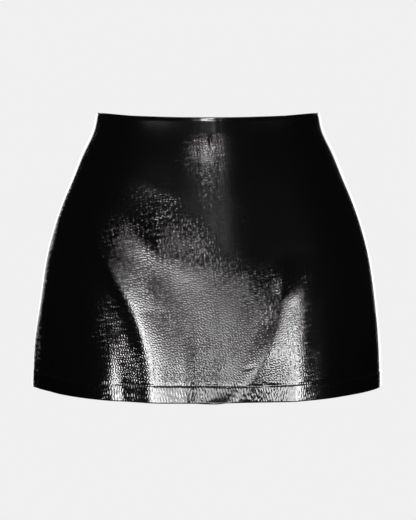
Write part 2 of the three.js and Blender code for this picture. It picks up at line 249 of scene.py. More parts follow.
@dataclass
class SkirtForm:
    """The filled shape of the skirt, from the sizes of its cut."""

    length: float = 341.0
    waist_turn: float = 16.0
    hem_turn: float = 21.0
    seam_turn: float = 11.0
    grip_drop: float = 8.0
    front_dip: float = 3.2
    back_dip: float = 9.5
    leather: float = 1.3
    front_third: float = 0.035
    front_fifth: float = -0.037
    seam_at_waist: float = 71.0
    seam_at_hip: float = 78.5
    seam_hip_drop: float = 170.0
    edge_recess: float = 0.44
    edge_band: float = 1.2
    ledge: float = 4.2
    seam_band_rise: float = 0.16
    hem_line_rise: float = -0.16
    hem_fuller: float = 0.25
    fold_fades: float = 70.0
    dents: Dents = field(default_factory=Dents)

    def __post_init__(self) -> None:
        """Fits the splines and measures the run along the leather for a grid of angles and drops."""
        drops = np.array([row.drop for row in BODY], float)
        self.half_width = NaturalSpline(drops, np.array([row.half_width for row in BODY], float))
        self.front = NaturalSpline(drops, np.array([row.front for row in BODY], float))
        self.back = NaturalSpline(drops, np.array([row.back for row in BODY], float))
        self.run_angles = np.linspace(-190, 190, 1521)
        self.run_drops = np.linspace(0, self.length, 172)
        angle, drop = np.meshgrid(self.run_angles, self.run_drops)
        x, y = self.plan(angle, drop)
        step = np.hypot(np.diff(x, axis=1), np.diff(y, axis=1))
        run = np.concatenate([np.zeros((len(drop), 1)), np.cumsum(step, axis=1)], axis=1)
        middle = len(self.run_angles) // 2
        self.runs = run - run[:, middle : middle + 1]

    @property
    def two_layers(self) -> float:
        """The thickness of the wall where leather is turned in."""
        return 2 * self.leather

    def side_seam(self, drop: np.ndarray) -> np.ndarray:
        """The angle of a side seam at a drop, in degrees."""
        change = self.seam_at_hip - self.seam_at_waist
        return self.seam_at_waist + change * smooth(np.asarray(drop, float) / self.seam_hip_drop)

    def plan(self, angle: np.ndarray, drop: np.ndarray) -> tuple[np.ndarray, np.ndarray]:
        """The plan at a drop: a half ellipse behind, and in front one flattened by two more cosines.

        Args:
            angle: degrees from the centre front.
            drop: mm below the waist edge.

        Returns:
            x and y, in mm.
        """
        turn = np.radians(angle)
        flat = drop / self.length
        third, fifth = self.front_third * flat, self.front_fifth * flat
        ahead = np.cos(turn)
        shaped = (ahead + third * np.cos(3 * turn) + fifth * np.cos(5 * turn)) / (1 + third + fifth)
        y = np.where(ahead > 0, -self.front(drop) * shaped, -self.back(drop) * ahead)
        return self.half_width(drop) * np.sin(turn), y

    def run_at(self, angle: np.ndarray, drop: np.ndarray) -> np.ndarray:
        """The run along the leather from the centre front, read from the measured grid."""
        column = (angle - self.run_angles[0]) / (self.run_angles[1] - self.run_angles[0])
        row = np.clip(drop, 0, self.length) / (self.run_drops[1] - self.run_drops[0])
        j = np.clip(column.astype(int), 0, len(self.run_angles) - 2)
        i = np.clip(row.astype(int), 0, len(self.run_drops) - 2)
        u, v = column - j, row - i
        upper = self.runs[i, j] * (1 - u) + self.runs[i, j + 1] * u
        lower = self.runs[i + 1, j] * (1 - u) + self.runs[i + 1, j + 1] * u
        return upper * (1 - v) + lower * v

    def fold_rise(self, angle: np.ndarray, drop: np.ndarray) -> np.ndarray:
        """How far the large folds push the leather out: a bell across each, grown smoothly down it."""
        total = np.zeros_like(drop)
        for fold in FOLDS:
            grown = smooth((drop - fold.begins) / fold.grows)
            fading = smooth((drop - self.length + self.fold_fades) / self.fold_fades)
            grown = grown * (1 - (1 - fold.stays) * fading)
            down = np.clip((drop - fold.begins) / (self.length - fold.begins), 0, 1)
            away = angle - fold.at - fold.lean * (1 - down) ** fold.bend
            away = away - 360 * np.round(away / 360)
            width = np.where(away > 0, fold.width * fold.skew, fold.width)
            total += fold.rise * grown * bell(away, width)
        return total

    def crease_rise(self, run: np.ndarray, drop: np.ndarray) -> np.ndarray:
        """How far the finer creases push the leather out.

        Each is a bell across a bowed line, and a half sine along it, so that it fades at both ends.

        Args:
            run: mm along the leather from the centre front.
            drop: mm below the waist edge.

        Returns:
            The height, in mm.
        """
        total = np.zeros_like(drop)
        for crease in CREASES:
            along = np.array([crease.run_to - crease.run_from, crease.drop_to - crease.drop_from], float)
            size = float(np.hypot(*along))
            along /= size
            place = (run - crease.run_from) * along[0] + (drop - crease.drop_from) * along[1]
            t = np.clip(place / size, 0, 1)
            away = (run - crease.run_from) * along[1] - (drop - crease.drop_from) * along[0]
            away = away - crease.bow * 4 * t * (1 - t)
            reach = np.where(away > 0, crease.width * crease.sharp, crease.width)
            total += crease.rise * np.sin(math.pi * t) ** 0.8 * np.exp(-((away / reach) ** 2))
        return total

    def waist_rise(self, run: np.ndarray, drop: np.ndarray) -> np.ndarray:
        """The narrow band pressed in along the waist edge, and the little ledge under it."""
        uneven = 1 + 0.12 * np.sin(run / 9.1) * np.sin(run / 23.7 + 1.3) + 0.05 * np.sin(run / 4.3)
        return -self.edge_recess * uneven * (1 - smooth((drop - self.edge_band) / self.ledge))

    def seam_rise(self, run: np.ndarray, drop: np.ndarray) -> np.ndarray:
        """The low flat band over the allowances that lie behind each seam."""
        ones = np.ones_like(drop)
        side = self.run_at(self.side_seam(drop), drop)
        back = self.run_at(180 * ones, drop)
        total = np.zeros_like(drop)
        for seam in (0 * ones, side, -side, back, -back):
            total += self.seam_band_rise * smooth((self.seam_turn + 4.0 - np.abs(run - seam)) / 9.0)
        return total

    def hem_rise(self, run: np.ndarray, drop: np.ndarray) -> np.ndarray:
        """The line that the edge of the turned up hem presses into the leather, and the fuller hem below."""
        line = self.length - self.hem_turn + 0.5 * np.sin(run / 31.0)
        uneven = 1 + 0.6 * np.sin(run / 17.0) * np.sin(run / 7.1) + 0.4 * np.sin(run / 2.9)
        pressed = self.hem_line_rise * uneven * bell(drop - line, 1.5)
        fuller = self.hem_fuller * smooth((drop - line) / 3.0)
        return pressed + fuller

    def outer(self, angle: np.ndarray, drop: np.ndarray) -> np.ndarray:
        """Points of the outer face: the plan pushed out, level, by all that rises from it.

        Args:
            angle: degrees from the centre front.
            drop: mm below the waist edge.

        Returns:
            The points in mm, with x, y and z last.
        """
        step = 0.2
        x, y = self.plan(angle, drop)
        x0, y0 = self.plan(angle - step, drop)
        x1, y1 = self.plan(angle + step, drop)
        along = np.hypot(x1 - x0, y1 - y0)
        run = self.run_at(angle, drop)
        rise = self.fold_rise(angle, drop) + self.waist_rise(run, drop) + self.seam_rise(run, drop)
        rise += self.hem_rise(run, drop) + self.crease_rise(run, drop) + self.dents(run, drop)
        ahead = np.cos(np.radians(angle))
        dip = np.where(ahead > 0, self.front_dip, self.back_dip) * ahead**2
        z = self.grip_drop - dip * (1 - drop / self.length) - drop
        return np.stack([x + (y1 - y0) / along * rise, y - (x1 - x0) / along * rise, z], axis=-1)

    def layer(self, angle: np.ndarray, drop: np.ndarray, depth: np.ndarray) -> np.ndarray:
        """Points at a depth inside the outer face, measured square to it.

        The normal is the cross product of the steps across and down, taken between near points.

        Args:
            angle: degrees from the centre front.
            drop: mm below the waist edge.
            depth: mm inside the outer face.

        Returns:
            The points in mm, with x, y and z last.
        """
        turn, fall = 0.12, 0.4
        across = self.outer(angle + turn, drop) - self.outer(angle - turn, drop)
        below = self.outer(angle, np.minimum(drop + fall, self.length))
        down = below - self.outer(angle, np.maximum(drop - fall, 0))
        out = np.cross(down, across)
        out /= np.linalg.norm(out, axis=-1, keepdims=True)
        return self.outer(angle, drop) - out * np.asarray(depth)[..., None]

    def span(self, angle: np.ndarray, drop: np.ndarray) -> np.ndarray:
        """Millimetres of leather for each degree of turn."""
        return self.run_at(angle + 0.5, drop) - self.run_at(angle - 0.5, drop)


def closed_wall(outer: np.ndarray, inner: np.ndarray) -> tuple[np.ndarray, np.ndarray, np.ndarray]:
    """Joins two grids of points into one closed wall.

    The quads of the outer grid run down then across, those of the inner grid the other way, and a rim of
    quads joins the two grids along their four edges.

    Args:
        outer: rows by columns by 3, rows down and columns anticlockwise seen from above.
        inner: the same, on the inside.

    Returns:
        The points, the quads, and for each quad the number of its first corner's grid point.
    """
    rows, columns = outer.shape[:2]
    grid = np.arange(rows * columns).reshape(rows, columns)
    back = grid + rows * columns
    a, b, c, d = grid[:-1, :-1], grid[1:, :-1], grid[1:, 1:], grid[:-1, 1:]
    faces = [np.stack([a, b, c, d], -1), np.stack([a, d, c, b], -1) + rows * columns]
    edges = (
        (grid[:-1, 0], back[:-1, 0], back[1:, 0], grid[1:, 0]),
        (grid[:-1, -1], grid[1:, -1], back[1:, -1], back[:-1, -1]),
        (grid[0, :-1], grid[0, 1:], back[0, 1:], back[0, :-1]),
        (grid[-1, :-1], back[-1, :-1], back[-1, 1:], grid[-1, 1:]),
    )
    faces += [np.stack(edge, -1) for edge in edges]
    quads = np.concatenate([face.reshape(-1, 4) for face in faces])
    return np.concatenate([outer.reshape(-1, 3), inner.reshape(-1, 3)]), quads, quads[:, 0] % (rows * columns)


def swept_tube(path: np.ndarray, radius: np.ndarray, side: np.ndarray, sides: int) -> tuple[np.ndarray, list]:
    """Carries a round section along many paths at once, with closed ends.

    Each ring lies square to the path: radius times the cosine along one normal and the sine along the other.

    Args:
        path: paths by steps by 3, in mm.
        radius: the radius at each step, in mm.
        side: a direction that no path runs along.
        sides: the corners of a ring.

    Returns:
        The points and the faces, quads along the tubes and a fan closed to a point at each end.
    """
    paths, steps = path.shape[:2]
    along = np.gradient(path, axis=1)
    along /= np.linalg.norm(along, axis=-1, keepdims=True)
    first = np.cross(along, side)
    first /= np.linalg.norm(first, axis=-1, keepdims=True)
    second = np.cross(along, first)
    turn = np.linspace(0, 2 * math.pi, sides, endpoint=False)
    ring = first[..., None, :] * np.cos(turn)[:, None] + second[..., None, :] * np.sin(turn)[:, None]
    points = path[:, :, None, :] + ring * radius[None, :, None, None]
    index = np.arange(paths * steps * sides).reshape(paths, steps, sides)
    after = np.roll(index, -1, axis=2)
    quads = np.stack([index[:, :-1], after[:, :-1], after[:, 1:], index[:, 1:]], -1).reshape(-1, 4)
    caps = np.concatenate([index[:, 0, ::-1], index[:, -1]])
    return points.reshape(-1, 3), [*quads.tolist(), *caps.tolist()]


def mesh_object(name: str, points: np.ndarray, faces: list, materials: list) -> bpy.types.Object:
    """Makes a smooth shaded object from points in mm.

    Args:
        name: the piece's name.
        points: the points, in mm in the row frame.
        faces: lists of point numbers.
        materials: the materials of its slots.

    Returns:
        The object, in the scene.
    """
    mesh = bpy.data.meshes.new(name)
    mesh.from_pydata((points * MM).tolist(), [], faces)
    mesh.polygons.foreach_set("use_smooth", np.ones(len(mesh.polygons), bool))
    for material in materials:
        mesh.materials.append(material)
    made = bpy.data.objects.new(name, mesh)
    bpy.context.scene.collection.objects.link(made)
    return made


def carry(made: bpy.types.Object, node: str | None = None, body: str = SKIRT_BODY) -> None:
    """Lets a piece ride on a body and stand for its solid, if it has one."""
    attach(made, body)
    if node:
        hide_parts(node)


def cloth_map(made: bpy.types.Object, run: np.ndarray, drop: np.ndarray) -> None:
    """Gives a piece the UV map "cut": metres along the leather and metres down it.

    Args:
        made: the piece.
        run: mm along the leather for each point.
        drop: mm below the waist edge for each point.
    """
    mesh = made.data
    corner = np.empty(len(mesh.loops), np.int32)
    mesh.loops.foreach_get("vertex_index", corner)
    layer = mesh.uv_layers.new(name="cut")
    flat = np.stack([run, -drop], -1)[corner] * MM
    layer.data.foreach_set("uv", flat.astype(np.float32).ravel())


class NodeTree:
    """A short way to write a shader's nodes."""

    def __init__(self, tree: bpy.types.NodeTree) -> None:
        """Keeps the tree, emptied."""
        self.tree = tree
        self.tree.nodes.clear()

    def add(self, kind: str, values: dict | None = None, **settings: object) -> bpy.types.Node:
        """Adds a node.

        Args:
            kind: the node's type without its "ShaderNode" or "Node" start.
            values: input names or numbers, each with a value or with the output that feeds it.
            **settings: the node's own properties.

        Returns:
            The node.
        """
        prefix = "" if kind.startswith(("Node", "Shader")) else "ShaderNode"
        node = self.tree.nodes.new(prefix + kind)
        for name, value in settings.items():
            setattr(node, name, value)
        for key, value in (values or {}).items():
            if isinstance(value, bpy.types.NodeSocket):
                self.tree.links.new(value, node.inputs[key])
            else:
                node.inputs[key].default_value = value
        return node

    def math(self, operation: str, first: object, second: object = 0.0) -> bpy.types.NodeSocket:
        """Adds a Math node and returns its output."""
        return self.add("Math", {0: first, 1: second}, operation=operation).outputs[0]

    def finish(self, values: dict) -> None:
        """Adds a Principled BSDF with these inputs and joins it to the material's output."""
        surface = self.add("BsdfPrincipled", values)
        self.add("OutputMaterial", {"Surface": surface.outputs[0]})

    def spread(
        self, value: object, low: object, high: object, to_low: object, to_high: object
    ) -> bpy.types.NodeSocket:
        """Adds a smooth Map Range node and returns its output."""
        values = {"Value": value, "From Min": low, "From Max": high, "To Min": to_low, "To Max": to_high}
        return self.add("MapRange", values, interpolation_type="SMOOTHSTEP").outputs[0]


def new_material(name: str) -> tuple[bpy.types.Material, NodeTree]:
    """Starts a material and returns it with its emptied tree."""
    made = bpy.data.materials.new(name)
    made.use_nodes = True
    return made, NodeTree(made.node_tree)


def new_group(
    name: str, inputs: dict[str, tuple[str, object]], outputs: dict[str, str]
) -> tuple[NodeTree, dict]:
    """Starts a shader node group.

    Args:
        name: the group's name.
        inputs: socket names, each with its type and its default.
        outputs: socket names, each with its type.

    Returns:
        The tree and its group's input sockets by name.
    """
    group = bpy.data.node_groups.new(name, "ShaderNodeTree")
    for socket, (kind, default) in inputs.items():
        made = group.interface.new_socket(socket, in_out="INPUT", socket_type=kind)
        if default is not None:
            made.default_value = default
    for socket, kind in outputs.items():
        group.interface.new_socket(socket, in_out="OUTPUT", socket_type=kind)
    tree = NodeTree(group)
    entry = tree.add("NodeGroupInput")
    return tree, {socket.name: socket for socket in entry.outputs if socket.name}


def crinkle_group() -> bpy.types.NodeTree:
    """The fine crinkled grain of patent leather: sine waves of about one pitch in even headings, added up.

    Each wave is strong in some patches and weak in others, and all are bent a little by a slow noise, so the
    ridges wind like a maze and keep one heading for a few pitches.

    Returns:
        The group: Vector, Pitch and Winding in, Height out.
    """
    waves, patch_scale = 9, 75.0
    tree, given = new_group(
        "Crinkle",
        {
            "Vector": ("NodeSocketVector", None),
            "Pitch": ("NodeSocketFloat", 0.003),
            "Winding": ("NodeSocketFloat", 1.0),
        },
        {"Height": "NodeSocketFloat"},
    )
    scale = tree.math("DIVIDE", 0.3, given["Pitch"])
    warp = tree.add("TexNoise", {"Vector": given["Vector"], "Scale": scale, "Detail": 1.0})
    centred = tree.add("VectorMath", {0: warp.outputs["Color"], 1: (0.5, 0.5, 0.5)}, operation="SUBTRACT")
    amount = tree.math("MULTIPLY", given["Pitch"], given["Winding"])
    moved = tree.add("VectorMath", {0: centred.outputs[0], "Scale": amount}, operation="SCALE")
    place = tree.add("VectorMath", {0: given["Vector"], 1: moved.outputs[0]}, operation="ADD")
    total = None
    for wave in range(waves):
        heading = math.pi * (wave + 0.3) / waves
        per_pitch = 2 * math.pi * (0.8 + 0.1 * (wave * 2 % 5))
        along = (per_pitch * math.cos(heading), per_pitch * math.sin(heading), 0.0)
        run = tree.add("VectorMath", {0: place.outputs[0], 1: along}, operation="DOT_PRODUCT")
        turns = tree.math("DIVIDE", run.outputs["Value"], given["Pitch"])
        patch = tree.add(
            "TexNoise",
            {"Vector": given["Vector"], "W": 2.7 * wave, "Scale": patch_scale, "Detail": 1.0},
            noise_dimensions="4D",
        )
        strength = tree.spread(patch.outputs["Fac"], 0.35, 0.65, 0.1, 0.34)
        part = tree.math("MULTIPLY", tree.math("SINE", turns), strength)
        total = part if total is None else tree.math("ADD", total, part)
    tree.add("NodeGroupOutput", {"Height": total})
    return tree.tree


@dataclass(frozen=True)
class PatentLeather:
    """Black patent leather: a glossy film over a crinkled grain."""

    colour: tuple[float, float, float, float] = (0.0008, 0.0008, 0.0009, 1.0)
    roughness: float = 0.12
    pitch: float = 0.0028
    depth: float = 0.00009
    hem_line: float = -0.316
    hem_stretch: float = 0.4

    def material(self, name: str, crinkle: bpy.types.NodeTree) -> bpy.types.Material:
        """Builds the material.

        Args:
            name: the material's name.
            crinkle: the grain's group.

        Returns:
            The material.
        """
        made, tree = new_material(name)
        place = tree.add("UVMap", uv_map="cut").outputs[0]
        split = tree.add("SeparateXYZ", {0: place})
        above = tree.math("MAXIMUM", split.outputs["Y"], self.hem_line)
        below = tree.math("MINIMUM", tree.math("SUBTRACT", split.outputs["Y"], self.hem_line), 0.0)
        drawn = tree.math("ADD", above, tree.math("MULTIPLY", below, self.hem_stretch))
        mapped = tree.add("CombineXYZ", {"X": split.outputs["X"], "Y": drawn}).outputs[0]
        ridges = tree.add("Group", node_tree=crinkle, values={"Vector": mapped, "Pitch": self.pitch})
        fine = tree.add("TexNoise", {"Vector": place, "Scale": 900.0, "Detail": 2.0})
        broad = tree.add("TexNoise", {"Vector": place, "Scale": 22.0, "Detail": 1.0})
        amount = tree.spread(broad.outputs["Fac"], 0.3, 0.7, 0.65, 1.15)
        band = tree.spread(split.outputs["Y"], -0.026, -0.014, 1.0, 0.06)
        slack_from = tree.spread(split.outputs["X"], -0.04, 0.02, -0.13, -0.21)
        slack_to = tree.math("ADD", slack_from, 0.06)
        slack = tree.spread(split.outputs["Y"], slack_from, slack_to, 1.0, 0.35)
        side = tree.spread(split.outputs["X"], 0.105, 0.135, 1.0, 0.45)
        from_seam = tree.math("ABSOLUTE", tree.math("SUBTRACT", split.outputs["X"], 0.002))
        puckered = tree.spread(from_seam, 0.01, 0.02, 0.2, 0.0)
        amount = tree.math("MULTIPLY", amount, tree.math("ADD", slack, puckered))
        amount = tree.math("MULTIPLY", amount, side)
        grain = tree.math("MULTIPLY", tree.math("MULTIPLY", ridges.outputs["Height"], amount), band)
        height = tree.math("ADD", grain, tree.math("MULTIPLY", fine.outputs["Fac"], 0.03))
        bump = tree.add("Bump", {"Height": height, "Distance": self.depth, "Strength": 1.0})
        shine = tree.spread(grain, -0.5, 0.2, self.roughness * 1.3, self.roughness)
        tree.finish({"Base Color": self.colour, "Roughness": shine, "Normal": bump.outputs[0], "IOR": 1.5})
        return made


@dataclass(frozen=True)
class FleshSide:
    """The napped inner face of the leather."""

    colour: tuple[float, float, float, float] = (0.016, 0.0155, 0.0155, 1.0)

    def material(self, name: str) -> bpy.types.Material:
        """Builds the material."""
        made, tree = new_material(name)
        place = tree.add("UVMap", uv_map="cut").outputs[0]
        nap = tree.add("TexNoise", {"Vector": place, "Scale": 700.0, "Detail": 4.0})
        cloud = tree.add("TexNoise", {"Vector": place, "Scale": 30.0, "Detail": 3.0})
        darker = tuple(part * 0.6 for part in self.colour[:3]) + (1.0,)
        shades = {"Factor": cloud.outputs["Fac"], "A": darker, "B": self.colour}
        tone = tree.add("Mix", shades, data_type="RGBA").outputs["Result"]
        bump = tree.add("Bump", {"Height": nap.outputs["Fac"], "Distance": 0.0003, "Strength": 0.8})
        tree.finish({"Base Color": tone, "Roughness": 0.92, "Normal": bump.outputs[0], "Sheen Weight": 0.15})
        return made


@dataclass
class Seam:
    """A seam between two panels."""

    angle: float
    follows_side: bool = False
    zipped: bool = False

    def at(self, form: SkirtForm, drop: np.ndarray) -> np.ndarray:
        """The seam's angle at each drop."""
        if self.follows_side:
            return math.copysign(1.0, self.angle) * form.side_seam(drop)
        return np.full_like(drop, self.angle)


@dataclass
class LeatherPanel:
    """One panel of the skirt between two seams, as a closed wall of leather."""

    name: str
    node: str
    start: Seam
    end: Seam
    columns: int
    slider_drop: float = 12.0
    slider_opening: float = 1.4
    slider_reach: float = 10.0
    seam_reach: float = 0.8
    seam_depth: float = 0.015

    def rows(self, form: SkirtForm) -> np.ndarray:
        """The drops of the grid's rows, close together at the waist, at the hem line and at the hem."""
        edge = form.leather * (1 - np.cos(np.linspace(0, math.pi / 2, 6)))
        waist = np.arange(1.9, 19.0, 0.65)
        line = form.length - form.hem_turn
        middle = np.linspace(19.5, line - 5.5, 158)
        hem_line = np.arange(line - 4.8, line + 5.0, 0.7)
        band = np.linspace(line + 6.2, form.length - 2.2, 8)
        return np.concatenate([edge, waist, middle, hem_line, band, form.length - edge[::-1]])

    def half_gap(self, seam: Seam, drop: np.ndarray) -> np.ndarray:
        """How far the edge stays from the middle of its seam; a zipped seam parts round the slider's neck."""
        near = np.clip(1 - ((drop - self.slider_drop) / self.slider_reach) ** 2, 0, 1)
        return self.slider_opening * near**2 if seam.zipped else 0 * drop

    def grid(self, form: SkirtForm) -> tuple[np.ndarray, np.ndarray, np.ndarray]:
        """The grid's angles and drops, and each point's distance from its nearer seam.

        Args:
            form: the skirt's shape.

        Returns:
            Angle, drop and distance, each rows by columns.
        """
        near = [0, 0.15, 0.4, 0.7, 1.05, 1.5, 2.2, 3.4, 5.0, 6.6, 8.2, 9.6, 10.5, 10.9, 11.3, 11.8, 13.2]
        beside = np.array(near)
        drop = self.rows(form)
        begin, finish = self.start.at(form, drop), self.end.at(form, drop)
        first = begin + self.half_gap(self.start, drop) / form.span(begin, drop)
        last = finish - self.half_gap(self.end, drop) / form.span(finish, drop)
        left = first[:, None] + beside / form.span(begin, drop)[:, None]
        right = last[:, None] - beside[::-1] / form.span(finish, drop)[:, None]
        share = np.linspace(0, 1, self.columns + 2)[1:-1]
        middle = left[:, -1:] + (right[:, :1] - left[:, -1:]) * share
        angle = np.concatenate([left, middle, right], axis=1)
        across = np.concatenate([beside, np.full(self.columns, 99.0), beside[::-1]])
        return angle, np.repeat(drop[:, None], len(across), axis=1), np.tile(across, (len(drop), 1))

    def depths(
        self, form: SkirtForm, drop: np.ndarray, away: np.ndarray
    ) -> tuple[np.ndarray, np.ndarray, np.ndarray]:
        """How deep the two faces lie, and where leather is turned in.

        A folded edge is a quarter circle on each face, and a seam rolls in over its reach.

        Args:
            form: the skirt's shape.
            drop: mm below the waist edge.
            away: mm from the nearer seam.

        Returns:
            The outer face's depth, the inner face's depth, and 1 where the wall has two layers.
        """
        lift = 1 - np.minimum(np.minimum(drop, form.length - drop), form.leather) / form.leather
        fold = 0.95 * form.leather * (1 - np.sqrt(np.clip(1 - lift**2, 0, 1)))
        seam = self.seam_depth * (1 - np.minimum(1, away / self.seam_reach)) ** 2
        from_fold = np.minimum(drop - form.waist_turn, form.length - form.hem_turn - drop)
        turned = smooth(1 - np.minimum(from_fold, away - form.seam_turn) / 0.8)
        return np.maximum(fold, seam), form.leather * (1 + turned) - fold, turned

    def build(self, form: SkirtForm, materials: list) -> bpy.types.Object:
        """Args:
            form: the skirt's shape.
            materials: the grain side's and the flesh side's materials.

        Returns:
            The panel.
        """
        angle, drop, away = self.grid(form)
        outside, inside, turned = self.depths(form, drop, away)
        outer = form.layer(angle, drop, outside)
        inner = form.layer(angle, drop, inside)
        points, quads, source = closed_wall(outer, inner)
        made = mesh_object(self.name, points, quads.tolist(), materials)
        run = form.run_at(angle, drop).ravel()
        cloth_map(made, np.tile(run, 2), np.tile(drop.ravel(), 2))
        count = angle.size
        flesh = (quads.min(axis=1) >= count) & (turned.ravel()[source] < 0.5)
        index = np.where(flesh, LeatherFace.FLESH.value, LeatherFace.GRAIN.value)
        made.data.polygons.foreach_set("material_index", index.astype(np.int32))
        on_faces = 2 * (angle.shape[0] - 1) * (angle.shape[1] - 1)
        made.data.polygons.foreach_set("use_smooth", np.arange(len(quads)) < on_faces)
        made.data.update()
        carry(made, self.node)
        return made


@dataclass(frozen=True)
class WovenTape:
    """The zip's woven tape: ribs along it, crossed by a finer weft, both a little uneven."""

    colour: tuple[float, float, float, float] = (0.011, 0.011, 0.012, 1.0)
    rib: float = 0.0011
    weft: float = 0.0006

    def material(self, name: str) -> bpy.types.Material:
        """Builds the material: a sine across the tape times a finer one down it, with the raised threads
        given a painted highlight.
        """
        made, tree = new_material(name)
        place = tree.add("UVMap", uv_map="cut").outputs[0]
        wander = tree.add("TexNoise", {"Vector": place, "Scale": 400.0, "Detail": 1.0}).outputs["Fac"]
        split = tree.add("SeparateXYZ", {0: place})
        ribs = tree.math("SINE", tree.math("MULTIPLY", split.outputs["X"], 2 * math.pi / self.rib))
        down = tree.math("MULTIPLY", split.outputs["Y"], 2 * math.pi / self.weft)
        weft = tree.math("SINE", tree.math("ADD", down, tree.math("MULTIPLY", ribs, 1.4)))
        height = tree.math("ADD", ribs, tree.math("MULTIPLY", weft, 0.6))
        height = tree.math("MULTIPLY", height, tree.spread(wander, 0.2, 0.8, 0.6, 1.2))
        # Painted highlight: the raised threads of the weave are painted paler than the hollows between them,
        # by the bump's height.
        paler = tuple(part * 1.9 for part in self.colour[:3]) + (1.0,)
        painted_crest_highlight = tree.spread(height, -1.2, 1.4, 0.0, 1.0)
        tone = tree.add("Mix", {"Factor": painted_crest_highlight, "A": self.colour, "B": paler}, data_type="RGBA")
        bump = tree.add("Bump", {"Height": height, "Distance": 0.00012, "Strength": 0.9})
        tree.finish({"Base Color": tone.outputs["Result"], "Roughness": 0.82, "Normal": bump.outputs[0]})
        return made


@dataclass(frozen=True)
class SmoothFinish:
    """A smooth finish with fine rubbed marks: nylon wire, sewing thread or blackened metal."""

    colour: tuple[float, float, float, float]
    roughness: float
    metallic: float = 0.0
    rub_scale: float = 900.0
    rub_depth: float = 0.00002

    def material(self, name: str) -> bpy.types.Material:
        """Builds the material, its roughness and tone varied by a stretched noise."""
        made, tree = new_material(name)
        place = tree.add("TexCoord").outputs["Object"]
        drawn = tree.add("Mapping", {"Vector": place, "Scale": (1.0, 1.0, 0.3)})
        rubbed = tree.add("TexNoise", {"Vector": drawn.outputs[0], "Scale": self.rub_scale, "Detail": 3.0})
        mark = rubbed.outputs["Fac"]
        paler = tuple(part * 1.6 for part in self.colour[:3]) + (1.0,)
        tone = tree.add("Mix", {"Factor": mark, "A": self.colour, "B": paler}, data_type="RGBA")
        shine = tree.spread(mark, 0.3, 0.7, self.roughness * 0.8, self.roughness * 1.3)
        bump = tree.add("Bump", {"Height": mark, "Distance": self.rub_depth, "Strength": 0.6})
        tree.finish(
            {
                "Base Color": tone.outputs["Result"],
                "Metallic": self.metallic,
                "Roughness": shine,
                "Normal": bump.outputs[0],
            },
        )
        return made


